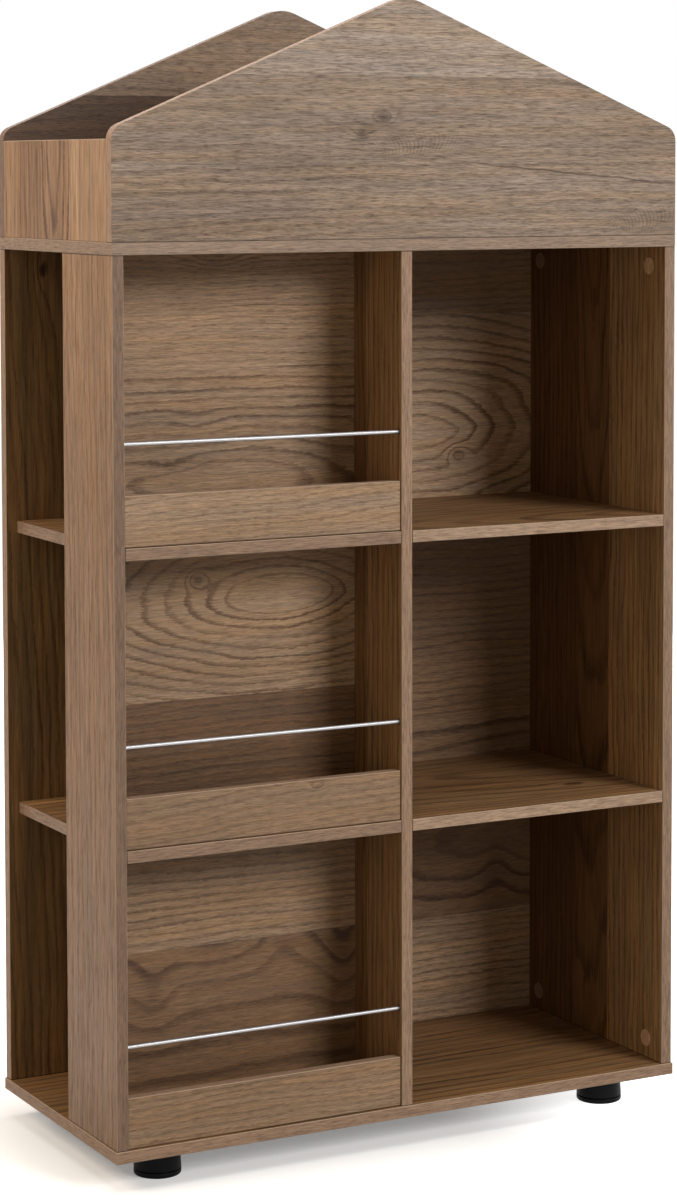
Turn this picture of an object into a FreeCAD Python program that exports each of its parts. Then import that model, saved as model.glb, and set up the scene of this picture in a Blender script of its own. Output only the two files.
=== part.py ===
import FreeCAD, Part
import Sketcher
import os
import re

# A house-shaped bookshelf of laminated boards: picture-book racks at the front left, compartments
# behind them that open to the left, open cubes on the right and a gabled tray on the top.
# The frame: X to the right, Y to the back, Z up, origin on the floor under the middle.

Vector = FreeCAD.Vector

# Driving sizes in millimetres: name, value, meaning.
SIZES = [
    ("width", 800, "over the outer faces of the side panels"),
    ("depth", 355, "front edges to rear edges"),
    ("board", 15, "thickness of the laminated boards"),
    ("compartment", 350, "clear height between two shelves"),
    ("rack_width", 377.5, "clear width of the left column"),
    ("bottom_overhang", 1.5, "bottom board beyond the uprights, all round"),
    ("rack_depth", 125, "front edges to the panels behind the racks"),
    ("side_lip", 20, "left side panel behind the panels of the racks"),
    ("edge_chamfer", 0.6, "eased edges of the boards"),
    ("back_thickness", 5, "thin panels"),
    ("back_inset", 16, "rear edges to the thin panel of the right column"),
    ("groove_depth", 6, "grooves for the thin panels"),
    ("groove_clearance", 0.2, "play of a thin panel in its groove, each way"),
    ("shelf_back_gap", 0.5, "right shelves to the thin panel behind them"),
    ("rail_height", 62, "fascia board across a rack"),
    ("rail_recess", 2.5, "front edges to the face of a rail"),
    ("rail_gap", 0.9, "slot below a rail"),
    ("rail_end_gap", 0.4, "play at each end of a rail"),
    ("rod_diameter", 5, "steel rod across a rack"),
    ("rod_height", 124.5, "rack floor to the axis of its rod"),
    ("rod_setback", 8, "front edges to the axis of a rod"),
    ("rod_socket", 8, "depth of a rod's socket"),
    ("rod_clearance", 0.1, "radial play of a rod in its socket"),
    ("rod_end_gap", 0.9, "play at each end of a rod"),
    ("roof_side_height", 123, "side boards of the tray"),
    ("eave_rise", 12.5, "side boards to the gables' eaves, before rounding"),
    ("roof_rise", 165.5, "gables' eaves to their peak, before rounding"),
    ("eave_radius", 20, "rounding of a gable's eaves"),
    ("peak_radius", 50, "rounding of a gable's peak"),
    ("hole_skin", 4, "wood left under a hole in a board's face"),
    ("cam_diameter", 15, "disc of a cam fitting"),
    ("cam_skin", 2.4, "wood left under a cam's seat"),
    ("cam_recess", 0.3, "cam disc below the board's face, and play under it"),
    ("cam_inset", 26, "board's end to the axis of a cam"),
    ("cam_front", 38, "front edges to the front cams"),
    ("cam_rear", 46, "rear edges to the rear cams"),
    ("cam_clearance", 0.1, "radial play of a cam disc"),
    ("bolt_diameter", 6, "bolt that a cam draws up"),
    ("bolt_past", 2.5, "bolt beyond the axis of its cam"),
    ("bolt_clearance", 0.3, "radial play of a bolt in its bore"),
    ("screw_clearance", 0.05, "radial play of a bolt or screw in its pilot hole"),
    ("cap_diameter", 22, "cover cap over a cam"),
    ("cap_thickness", 0.8, "cover cap over a cam"),
    ("dowel_diameter", 8, "wooden dowel"),
    ("dowel_edge", 20, "dowel hole in the edge of a board"),
    ("dowel_clearance", 0.1, "radial play of a dowel"),
    ("end_gap", 0.5, "play beyond the end of a dowel, bolt or screw"),
    ("shelf_dowel_front", 70, "front edges to the front dowels of a shelf"),
    ("shelf_dowel_rear", 80, "rear edges to the rear dowels of a shelf"),
    ("panel_dowel_inset", 90, "edge of an upright to its dowels"),
    ("gable_dowel_offset", 250, "middle to a gable's dowels"),
    ("foot_height", 36, "floor to the underside of the bottom board"),
    ("foot_diameter", 59, "foot and its glide"),
    ("foot_plate", 4, "top plate of a foot"),
    ("foot_side_inset", 78, "outer face of a side panel to a foot's axis"),
    ("foot_edge_inset", 55, "front or rear edges to a foot's axis"),
    ("foot_groove", 0.9, "open line between a foot and its glide"),
    ("glide_height", 6.5, "disc of a levelling glide"),
    ("stem_diameter", 10, "stem of a glide"),
    ("stem_head_gap", 6.5, "stem of a glide to the screw head above it"),
    ("stem_clearance", 0.1, "radial play of a stem in its foot"),
    ("screw_diameter", 4, "screw that holds a foot"),
    ("screw_head_diameter", 8, "head of a foot screw"),
    ("screw_head_height", 3, "head of a foot screw"),
]

# Places and mating sizes worked out from the driving sizes.
PLACES = {
    "front": "-depth / 2",
    "back": "depth / 2",
    "left_outer": "-width / 2",
    "right_outer": "width / 2",
    "left_inner": "left_outer + board",
    "right_inner": "right_outer - board",
    "left_middle": "left_outer + board / 2",
    "right_middle": "right_outer - board / 2",
    "divider_left": "left_inner + rack_width",
    "divider_right": "divider_left + board",
    "divider_middle": "divider_left + board / 2",
    "pitch": "compartment + board",
    "upright": "3 * compartment + 2 * board",
    "floor_level": "foot_height + board",
    "top_level": "floor_level + upright",
    "roof_level": "top_level + board",
    "rack_back_front": "front + rack_depth",
    "side_panel_edge": "rack_back_front + back_thickness + side_lip",
    "left_back_front": "back - board",
    "left_back_middle": "back - board / 2",
    "right_back_front": "back - back_inset - back_thickness",
    "tongue": "groove_depth - groove_clearance",
    "rail_front": "front + rail_recess",
    "rail_middle": "rail_front + board / 2",
    "rail_dowel_height": "rail_gap + rail_height / 2",
    "rod_row": "front + rod_setback",
    "rod_hole": "rod_diameter + 2 * rod_clearance",
    "rod_start": "left_inner - rod_socket + rod_end_gap",
    "rod_end": "divider_left + rod_socket - rod_end_gap",
    "tray_front": "front + board",
    "tray_back": "back - board",
    "gable_eave": "roof_side_height + eave_rise",
    "gable_peak": "gable_eave + roof_rise",
    "cam_seat": "cam_diameter + 2 * cam_clearance",
    "cam_seat_depth": "board - cam_skin",
    "cam_thickness": "cam_seat_depth - 2 * cam_recess",
    "cam_front_row": "front + cam_front",
    "cam_rear_row": "back - cam_rear",
    "bolt_bore": "bolt_diameter + 2 * bolt_clearance",
    "bolt_pilot": "bolt_diameter + 2 * screw_clearance",
    "blind_hole": "board - hole_skin",
    "blind_grip": "blind_hole - end_gap",
    "dowel_hole": "dowel_diameter + 2 * dowel_clearance",
    "shelf_front_row": "front + shelf_dowel_front",
    "shelf_rear_row": "back - shelf_dowel_rear",
    "left_shelf_centre": "(left_inner + divider_left) / 2",
    "foot_bottom": "glide_height + foot_groove",
    "bore_top": "foot_height - foot_plate",
    "stem_top": "bore_top - screw_head_height - stem_head_gap",
    "screw_bore": "screw_diameter + 2 * bolt_clearance",
    "screw_pilot": "screw_diameter + 2 * screw_clearance",
}

RACKS = ["lower", "middle", "upper"]
SHELVES = ["lower", "upper"]
FEET = {
    "front_left": ("left_outer + foot_side_inset", "front + foot_edge_inset"),
    "front_right": ("right_outer - foot_side_inset", "front + foot_edge_inset"),
    "rear_left": ("left_outer + foot_side_inset", "back - foot_edge_inset"),
    "rear_right": ("right_outer - foot_side_inset", "back - foot_edge_inset"),
}

# Each face of a board: plane of its sketch, and whether a cut into the board runs along the
# normal of that plane.
FACES = {
    "top": ("XY_Plane", False),
    "bottom": ("XY_Plane", True),
    "right": ("YZ_Plane", False),
    "left": ("YZ_Plane", True),
}

UP = (0, 0, 1)
DOWN = (0, 0, -1)
RIGHTWARD = (1, 0, 0)
LEFTWARD = (-1, 0, 0)
FORWARD = (0, -1, 0)
BACKWARD = (0, 1, 0)
HALF_TURN = 180
SAME_PLACE = 0.001

# Hidden fasteners and their holes have flat sides, so that the many of them stay light.
PEG_SIDES = 8
CAM_SIDES = 10
CAP_SIDES = 20

doc = FreeCAD.newDocument("Bookshelf")
sheet = doc.addObject("Spreadsheet::Sheet", "Sizes")
for row, (name, size, meaning) in enumerate(SIZES, start=1):
    sheet.set(f"A{row}", name)
    sheet.set(f"B{row}", str(size))
    sheet.setAlias(f"B{row}", name)
    sheet.set(f"C{row}", meaning)
doc.recompute()

size_names = {name for name, size, meaning in SIZES}
blanks = {}
drill_bits = {}
fasteners = {}


# Formulas and places

def formula(text):
    """The text with each place written out and each size as a cell of the sheet."""
    def spell_out(match):
        word = match.group()
        if word in PLACES:
            return f"({formula(PLACES[word])})"
        if word in size_names:
            return f"Sizes.{word}"
        raise KeyError(word)
    return re.sub(r"[a-z][a-z_]*", spell_out, str(text))


def value(text):
    return float(sheet.evalExpression(formula(text)))


def bind(thing, setting, text):
    thing.setExpression(setting, formula(text))


def place(thing, x, y, z, turn=0):
    """Bind a sub-part's place, after an optional turn about Z in degrees."""
    thing.Placement = FreeCAD.Placement(Vector(), FreeCAD.Rotation(Vector(0, 0, 1), turn))
    for axis, text in zip("xyz", (x, y, z)):
        bind(thing, f"Placement.Base.{axis}", text)


def shifted(seat, axis, text):
    """A seat moved along an axis by a formula."""
    return [f"{start} + {step} * ({text})" if step else start for start, step in zip(seat, axis)]


def level(number):
    """Height of a rack's floor above the bottom board."""
    return f"{number} * pitch"


# Sketches and features of the boards

def faces_forward(plane):
    """Whether the normal of an origin plane points the other way than its axis."""
    return plane == "XZ_Plane"


def sketch_at(body, name, plane, at):
    """A sketch parallel to one of the body's own origin planes."""
    sketch = body.newObject("Sketcher::SketchObject", f"{body.Label}_{name}")
    support = next(item for item in body.Origin.OriginFeatures if item.Role == plane)
    sketch.AttachmentSupport = [(support, "")]
    sketch.MapMode = "FlatFace"
    bind(sketch, "AttachmentOffset.Base.z", f"-({at})" if faces_forward(plane) else at)
    return sketch


def pin(sketch, item, point, across, up):
    """Fix one point of a sketch by two formulas."""
    for kind, text in (("DistanceX", across), ("DistanceY", up)):
        rule = Sketcher.Constraint(kind, -1, 1, item, point, value(text))
        bind(sketch, f"Constraints[{sketch.addConstraint(rule)}]", text)


def polygon(sketch, corners):
    spots = [Vector(value(across), value(up), 0) for across, up in corners]
    for start, end in zip(spots, spots[1:] + spots[:1]):
        sketch.addGeometry(Part.LineSegment(start, end))
    for side, (across, up) in enumerate(corners):
        before = (side - 1) % len(corners)
        sketch.addConstraint(Sketcher.Constraint("Coincident", before, 2, side, 1))
        pin(sketch, side, 1, across, up)


def circle(sketch, across, up, diameter):
    centre = Vector(value(across), value(up), 0)
    item = sketch.addGeometry(Part.Circle(centre, Vector(0, 0, 1), value(diameter) / 2))
    pin(sketch, item, 3, across, up)
    rule = sketch.addConstraint(Sketcher.Constraint("Diameter", item, value(diameter)))
    bind(sketch, f"Constraints[{rule}]", diameter)


def rectangle(left, right, low, high):
    return [(left, low), (right, low), (right, high), (left, high)]


def new_body(label):
    body = doc.addObject("PartDesign::Body", label)
    body.Label = f"{label}_blank"
    blanks[label] = body
    return body


def slab(label, plane, start, outline, thickness="board"):
    """A flat board: its outline on a plane at start, padded towards +X, +Y or +Z."""
    body = new_body(label)
    sketch = sketch_at(body, "outline", plane, start)
    polygon(sketch, outline)
    pad = body.newObject("PartDesign::Pad", f"{label}_pad")
    pad.Profile = sketch
    pad.Reversed = faces_forward(plane)
    bind(pad, "Length", thickness)
    return body


def turned(label, outline):
    """A round sub-part: a half outline of (radius, height) points, revolved about Z."""
    body = new_body(label)
    sketch = sketch_at(body, "half_outline", "XZ_Plane", "0")
    polygon(sketch, outline)
    revolve = body.newObject("PartDesign::Revolution", f"{label}_revolve")
    revolve.Profile = sketch
    revolve.ReferenceAxis = (sketch, ["V_Axis"])
    revolve.Angle = 360
    return body


def is_along(edge, axis):
    ends = [vertex.Point for vertex in edge.Vertexes]
    run = ends[1] - ends[0]
    return run.cross(Vector(*axis)).Length < SAME_PLACE * run.Length


def is_at_height(edge, text):
    return abs(edge.CenterOfMass.z - value(text)) < SAME_PLACE


def dress(body, kind, name, setting, text, wanted):
    """A chamfer or fillet on the edges that pass the test."""
    doc.recompute()
    base = body.Tip
    edges = [f"Edge{number}" for number, edge in enumerate(base.Shape.Edges, start=1) if wanted(edge)]
    feature = body.newObject(f"PartDesign::{kind}", f"{body.Label}_{name}")
    feature.Base = (base, edges)
    bind(feature, setting, text)


def ease(body, *axes):
    """Chamfer the edges of a board that run along the given axes."""
    dress(body, "Chamfer", "eased_edges", "Size", "edge_chamfer",
          lambda edge: any(is_along(edge, axis) for axis in axes))


def pocket(body, name, face, at, draw, depth):
    """Cut what draw puts into a sketch on one face of a board."""
    plane, along_normal = FACES[face]
    sketch = sketch_at(body, f"{name}_outline", plane, at)
    draw(sketch)
    feature = body.newObject("PartDesign::Pocket", f"{body.Label}_{name}")
    feature.Profile = sketch
    feature.Reversed = along_normal
    bind(feature, "Length", depth)


def panel_groove(body, face, at, panel_front, low, high, lengthwise=False):
    """A groove for a thin panel whose front face is at panel_front."""
    near = f"{panel_front} - groove_clearance"
    far = f"{panel_front} + back_thickness + groove_clearance"
    outline = rectangle(low, high, near, far) if lengthwise else rectangle(near, far, low, high)
    pocket(body, f"{face}_groove", face, at, lambda sketch: polygon(sketch, outline), "groove_depth")


def rod_sockets(body, face, at):
    def draw(sketch):
        for number in range(len(RACKS)):
            circle(sketch, "rod_row", f"{level(number)} + rod_height", "rod_hole")
    pocket(body, "rod_sockets", face, at, draw, "rod_socket")


# Boards of the carcass

def bottom_board():
    side = "width / 2 + bottom_overhang"
    edge = "depth / 2 + bottom_overhang"
    outline = rectangle(f"-({side})", side, f"-({edge})", edge)
    body = slab("bottom_board", "XY_Plane", "0", outline)
    ease(body, RIGHTWARD, BACKWARD)
    panel_groove(body, "top", "board", "right_back_front", "divider_right - tongue",
                 "right_inner + tongue", lengthwise=True)
    place(body, "0", "0", "foot_height")


def top_board():
    body = slab("top_board", "XY_Plane", "0", rectangle("left_outer", "right_outer", "front", "back"))
    ease(body, RIGHTWARD, BACKWARD)
    panel_groove(body, "bottom", "0", "right_back_front", "divider_right - tongue",
                 "right_inner + tongue", lengthwise=True)
    place(body, "0", "0", "top_level")


def left_side_panel():
    outline = rectangle("front", "side_panel_edge", "0", "upright")
    body = slab("left_side_panel", "YZ_Plane", "left_outer", outline)
    ease(body, UP)
    panel_groove(body, "right", "left_inner", "rack_back_front", "0", "upright")
    rod_sockets(body, "right", "left_inner")
    place(body, "0", "0", "floor_level")


def centre_divider():
    body = slab("centre_divider", "YZ_Plane", "divider_left", rectangle("front", "back", "0", "upright"))
    ease(body, UP)
    panel_groove(body, "left", "divider_left", "rack_back_front", "0", "upright")
    panel_groove(body, "right", "divider_right", "right_back_front", "0", "upright")
    rod_sockets(body, "left", "divider_left")
    place(body, "0", "0", "floor_level")


def right_side_panel():
    body = slab("right_side_panel", "YZ_Plane", "right_inner", rectangle("front", "back", "0", "upright"))
    ease(body, UP)
    panel_groove(body, "left", "right_inner", "right_back_front", "0", "upright")
    place(body, "0", "0", "floor_level")


def left_back_board():
    outline = rectangle("left_outer", "divider_left", "0", "upright")
    body = slab("left_back_board", "XZ_Plane", "left_back_front", outline)
    ease(body, UP)
    place(body, "0", "0", "floor_level")


# Shelves and thin panels

def left_shelf(name, number):
    outline = rectangle("left_inner", "divider_left", "front", "left_back_front")
    body = slab(f"left_shelf_{name}", "XY_Plane", "-board", outline)
    ease(body, RIGHTWARD)
    place(body, "0", "0", f"floor_level + {level(number)}")


def right_shelf(name, number):
    outline = rectangle("divider_right", "right_inner", "front", "right_back_front - shelf_back_gap")
    body = slab(f"right_shelf_{name}", "XY_Plane", "-board", outline)
    ease(body, RIGHTWARD)
    place(body, "0", "0", f"floor_level + {level(number)}")


def right_back_panel():
    outline = rectangle("divider_right - tongue", "right_inner + tongue", "-tongue", "upright + tongue")
    body = slab("right_back_panel", "XZ_Plane", "right_back_front", outline, "back_thickness")
    place(body, "0", "0", "floor_level")


def rack_back(name, number):
    outline = rectangle("left_inner - tongue", "divider_left + tongue", "0",
                        "compartment - groove_clearance")
    body = slab(f"rack_back_{name}", "XZ_Plane", "rack_back_front", outline, "back_thickness")
    place(body, "0", "0", f"floor_level + {level(number)}")


# Rails and rods of the racks

def rack_rail(name, number):
    outline = rectangle("left_inner + rail_end_gap", "divider_left - rail_end_gap",
                        "rail_gap", "rail_gap + rail_height")
    body = slab(f"rack_rail_{name}", "XZ_Plane", "rail_front", outline)
    ease(body, RIGHTWARD)
    place(body, "0", "0", f"floor_level + {level(number)}")


def rack_rod(name, number):
    body = new_body(f"rack_rod_{name}")
    sketch = sketch_at(body, "section", "YZ_Plane", "rod_start")
    circle(sketch, "0", "0", "rod_diameter")
    pad = body.newObject("PartDesign::Pad", f"{body.Label}_pad")
    pad.Profile = sketch
    bind(pad, "Length", "rod_end - rod_start")
    place(body, "0", "rod_row", f"floor_level + {level(number)} + rod_height")


# The gabled tray on the top

def gable(name, at, turn):
    """A gable with its inner face at local Y 0; the rear one is the front one turned about."""
    outline = [("left_outer", "0"), ("right_outer", "0"), ("right_outer", "gable_eave"),
               ("0", "gable_peak"), ("left_outer", "gable_eave")]
    body = slab(f"{name}_gable", "XZ_Plane", "-board", outline)
    corner_heights = {"eave": ("gable_eave", "eave_radius"), "peak": ("gable_peak", "peak_radius")}
    for corner, (height, radius) in corner_heights.items():
        dress(body, "Fillet", corner, "Radius", radius,
              lambda edge: is_along(edge, BACKWARD) and is_at_height(edge, height))
    place(body, "0", at, "roof_level", turn)


def roof_side(name, turn):
    """A side board of the tray, drawn at the left; the right one is turned about."""
    outline = rectangle("tray_front", "tray_back", "0", "roof_side_height")
    body = slab(f"roof_side_{name}", "YZ_Plane", "left_outer", outline)
    ease(body, BACKWARD)
    place(body, "0", "0", "roof_level", turn)


# Feet with levelling glides

def foot(name, x, y):
    """A moulded foot with a threaded bore for its glide."""
    rim = "foot_diameter / 2"
    bore = "stem_diameter / 2 + stem_clearance"
    outline = [(bore, "foot_bottom"), (rim, "foot_bottom"), (rim, "foot_height"),
               ("0", "foot_height"), ("0", "bore_top"), (bore, "bore_top")]
    place(turned(f"foot_{name}", outline), x, y, "0")


def glide(name, x, y):
    """A disc on a stem, screwed right in at rest."""
    rim = "foot_diameter / 2"
    stem = "stem_diameter / 2"
    outline = [("0", "0"), (rim, "0"), (rim, "glide_height"), (stem, "glide_height"),
               (stem, "stem_top"), ("0", "stem_top")]
    place(turned(f"glide_{name}", outline), x, y, "0")


# Joinery: each joint makes its fastener and the holes in the two boards that it holds

def prism(name, sides, seat, axis, start, diameter, length):
    """A straight peg along an axis, from the seat moved by start."""
    peg = doc.addObject("Part::Prism", name)
    peg.Polygon = sides
    bind(peg, "Circumradius", f"({diameter}) / 2")
    bind(peg, "Height", length)
    peg.Placement = FreeCAD.Placement(Vector(), FreeCAD.Rotation(Vector(0, 0, 1), Vector(*axis)))
    for letter, coordinate in zip("xyz", shifted(seat, axis, start)):
        bind(peg, f"Placement.Base.{letter}", coordinate)
    return peg


def drill(label, *hole):
    drill_bits.setdefault(label, []).append(prism("drill_bit", *hole))


def fasten(group, solid):
    fasteners.setdefault(group, []).append(solid)


def join(kind, base, tool):
    solid = doc.addObject(f"Part::{kind}", kind.lower())
    solid.Base = base
    solid.Tool = tool
    return solid


def dowel_joint(edge_board, face_board, seat, axis):
    """A dowel from the edge of one board into the face of another, met at the seat."""
    drill(edge_board, PEG_SIDES, seat, axis, "-dowel_edge", "dowel_hole", "dowel_edge")
    drill(face_board, PEG_SIDES, seat, axis, "0", "dowel_hole", "blind_hole")
    fasten("dowels", prism("dowel", PEG_SIDES, seat, axis, "-dowel_edge + end_gap", "dowel_diameter",
                           "dowel_edge - end_gap + blind_grip"))


def through_dowel_joint(left_board, right_board, seat):
    """A long dowel through the centre divider, into a shelf on each side."""
    far_side = shifted(seat, RIGHTWARD, "board")
    drill(left_board, PEG_SIDES, seat, RIGHTWARD, "-dowel_edge", "dowel_hole", "dowel_edge")
    drill("centre_divider", PEG_SIDES, seat, RIGHTWARD, "0", "dowel_hole", "board")
    drill(right_board, PEG_SIDES, far_side, RIGHTWARD, "0", "dowel_hole", "dowel_edge")
    fasten("through_dowels", prism("dowel", PEG_SIDES, seat, RIGHTWARD, "-dowel_edge + end_gap",
                                   "dowel_diameter", "board + 2 * dowel_edge - 2 * end_gap"))


def cam_joint(upright, board, seat, axis, facing):
    """A bolt in a board, drawn up by a cam in the face of an upright, under a cover cap."""
    centre = shifted(seat, axis, "-cam_inset")
    cam_floor = "board / 2 - cam_seat_depth"
    drill(upright, CAM_SIDES, centre, facing, cam_floor, "cam_seat", "cam_seat_depth")
    drill(upright, PEG_SIDES, seat, axis, "-cam_inset", "bolt_bore", "cam_inset")
    drill(board, PEG_SIDES, seat, axis, "0", "bolt_pilot", "blind_hole")
    disc = prism("cam_blank", CAM_SIDES, centre, facing, f"{cam_floor} + cam_recess", "cam_diameter",
                 "cam_thickness")
    throat = prism("cam_throat", PEG_SIDES, centre, axis, "-bolt_past - bolt_clearance", "bolt_bore",
                   "cam_diameter")
    fasten("cam_discs", join("Cut", disc, throat))
    fasten("cam_bolts", prism("cam_bolt", PEG_SIDES, seat, axis, "-cam_inset - bolt_past",
                              "bolt_diameter", "cam_inset + bolt_past + blind_grip"))
    fasten("cam_caps", prism("cam_cap", CAP_SIDES, centre, facing, "board / 2", "cap_diameter",
                             "cap_thickness"))


def upright_joints():
    """The uprights between the bottom board and the top board."""
    cams = [
        ("right_side_panel", "right_middle", "cam_front_row", LEFTWARD),
        ("right_side_panel", "right_middle", "cam_rear_row", LEFTWARD),
        ("centre_divider", "divider_middle", "cam_front_row", RIGHTWARD),
        ("centre_divider", "divider_middle", "cam_rear_row", RIGHTWARD),
        ("left_side_panel", "left_middle", "cam_front_row", RIGHTWARD),
    ]
    dowels = [
        ("left_side_panel", "left_middle", "front + panel_dowel_inset"),
        ("left_back_board", "left_outer + panel_dowel_inset", "left_back_middle"),
        ("left_back_board", "divider_left - panel_dowel_inset", "left_back_middle"),
    ]
    ends = [("bottom_board", "floor_level", DOWN), ("top_board", "top_level", UP)]
    for board, height, axis in ends:
        for upright, x, y, facing in cams:
            cam_joint(upright, board, (x, y, height), axis, facing)
        for upright, x, y in dowels:
            dowel_joint(upright, board, (x, y, height), axis)


def shelf_joints(name, number):
    height = f"floor_level + {level(number)} - board / 2"
    left = f"left_shelf_{name}"
    right = f"right_shelf_{name}"
    dowel_joint(left, "left_side_panel", ("left_inner", "shelf_front_row", height), LEFTWARD)
    dowel_joint(left, "left_back_board", ("left_shelf_centre", "left_back_front", height), BACKWARD)
    for row in ("shelf_front_row", "shelf_rear_row"):
        through_dowel_joint(left, right, ("divider_left", row, height))
        dowel_joint(right, "right_side_panel", ("right_inner", row, height), RIGHTWARD)


def rail_joints(name, number):
    rail = f"rack_rail_{name}"
    height = f"floor_level + {level(number)} + rail_dowel_height"
    dowel_joint(rail, "left_side_panel", ("left_inner", "rail_middle", height), LEFTWARD)
    dowel_joint(rail, "centre_divider", ("divider_left", "rail_middle", height), RIGHTWARD)


def tray_joints():
    gables = {"front_gable": ("front + board / 2", "tray_front", FORWARD),
              "back_gable": ("back - board / 2", "tray_back", BACKWARD)}
    sides = {"roof_side_left": "left_middle", "roof_side_right": "right_middle"}
    side_height = "roof_level + roof_side_height / 2"
    for gable_label, (middle, inner_face, axis) in gables.items():
        for x in ("-gable_dowel_offset", "gable_dowel_offset"):
            dowel_joint(gable_label, "top_board", (x, middle, "roof_level"), DOWN)
        for side_label, x in sides.items():
            dowel_joint(side_label, gable_label, (x, inner_face, side_height), axis)


def foot_screw(name, x, y):
    seat = (x, y, "bore_top")
    drill(f"foot_{name}", PEG_SIDES, seat, UP, "0", "screw_bore", "foot_plate")
    drill("bottom_board", PEG_SIDES, (x, y, "foot_height"), UP, "0", "screw_pilot", "blind_hole")
    head = prism("screw_head", PEG_SIDES, seat, DOWN, "0", "screw_head_diameter", "screw_head_height")
    shank = prism("screw_shank", PEG_SIDES, seat, UP, "0", "screw_diameter", "foot_plate + blind_grip")
    fasten("foot_screws", join("Fuse", head, shank))


# Build every sub-part

bottom_board()
top_board()
left_side_panel()
centre_divider()
right_side_panel()
left_back_board()
right_back_panel()
for shelf_number, shelf_name in enumerate(SHELVES, start=1):
    left_shelf(shelf_name, shelf_number)
    right_shelf(shelf_name, shelf_number)
for rack_number, rack_name in enumerate(RACKS):
    rack_back(rack_name, rack_number)
    rack_rail(rack_name, rack_number)
    rack_rod(rack_name, rack_number)
gable("front", "tray_front", 0)
gable("back", "tray_back", HALF_TURN)
roof_side("left", 0)
roof_side("right", HALF_TURN)
for foot_name, (foot_x, foot_y) in FEET.items():
    foot(foot_name, foot_x, foot_y)
    glide(foot_name, foot_x, foot_y)

upright_joints()
for shelf_number, shelf_name in enumerate(SHELVES, start=1):
    shelf_joints(shelf_name, shelf_number)
for rack_number, rack_name in enumerate(RACKS):
    rail_joints(rack_name, rack_number)
tray_joints()
for foot_name, (foot_x, foot_y) in FEET.items():
    foot_screw(foot_name, foot_x, foot_y)


# Drill the boards, group the fasteners, check and write

def finished(label):
    """The sub-part with its holes drilled."""
    body = blanks[label]
    if label not in drill_bits:
        body.Label = label
        return body
    bit, *others = drill_bits[label]
    if others:
        holes = doc.addObject("Part::MultiFuse", f"{label}_holes")
        holes.Shapes = [bit, *others]
        bit = holes
    drilled = join("Cut", body, bit)
    drilled.Label = label
    return drilled


def grouped(label):
    compound = doc.addObject("Part::Compound", label)
    compound.Label = label
    compound.Links = fasteners[label]
    return compound


def check(document, sub_parts):
    for item in document.Objects:
        if "Invalid" in item.State or "Error" in item.State:
            raise RuntimeError(f"{item.Label} failed: {item.State}")
        if item.TypeId == "PartDesign::Pocket" and item.Shape.Volume >= item.BaseFeature.Shape.Volume:
            raise RuntimeError(f"{item.Label} cuts nothing")
    for item in sub_parts:
        if item.Shape.isNull() or not item.Shape.isValid():
            raise RuntimeError(f"{item.Label} has no valid shape")


parts = [finished(label) for label in blanks] + [grouped(label) for label in fasteners]
doc.recompute()
check(doc, parts)
os.makedirs("parts", exist_ok=True)
for item in parts:
    item.Shape.exportStep(f"parts/{item.Label}.step")
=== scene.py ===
import math
import random
from collections import namedtuple

import bmesh
import bpy
from mathutils import Matrix, Vector


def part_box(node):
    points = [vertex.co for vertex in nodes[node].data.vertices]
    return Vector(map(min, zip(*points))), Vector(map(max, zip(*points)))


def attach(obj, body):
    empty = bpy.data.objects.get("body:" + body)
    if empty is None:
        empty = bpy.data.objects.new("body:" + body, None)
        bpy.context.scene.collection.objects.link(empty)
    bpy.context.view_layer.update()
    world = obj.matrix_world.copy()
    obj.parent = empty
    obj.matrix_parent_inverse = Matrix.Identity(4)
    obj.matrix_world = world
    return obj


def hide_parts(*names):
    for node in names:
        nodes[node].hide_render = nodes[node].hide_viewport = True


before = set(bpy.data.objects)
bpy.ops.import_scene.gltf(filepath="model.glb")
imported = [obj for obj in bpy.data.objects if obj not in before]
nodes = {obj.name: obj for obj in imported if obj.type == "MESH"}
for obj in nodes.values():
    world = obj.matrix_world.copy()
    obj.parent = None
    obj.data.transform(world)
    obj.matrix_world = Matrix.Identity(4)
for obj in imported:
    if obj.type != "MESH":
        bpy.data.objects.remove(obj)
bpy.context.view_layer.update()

# Looks of the house-shaped bookshelf: oak-look laminate, bright steel rods, black plastic feet.
# All places are in metres in the frame of the part: X right, Y back, Z up.

IMAGE_HEIGHT = 1200
RELIEF = 0.0004

# Nearly all values of a noise lie between these two.
NOISE_LOW = 0.3
NOISE_HIGH = 0.7


def srgb(red, green, blue):
    """A linear colour with alpha from the 0 to 255 values of a picture."""
    def linear(level):
        level /= 255
        return level / 12.92 if level <= 0.04045 else ((level + 0.055) / 1.055) ** 2.4
    return (linear(red), linear(green), linear(blue), 1.0)


# Node trees

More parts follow.
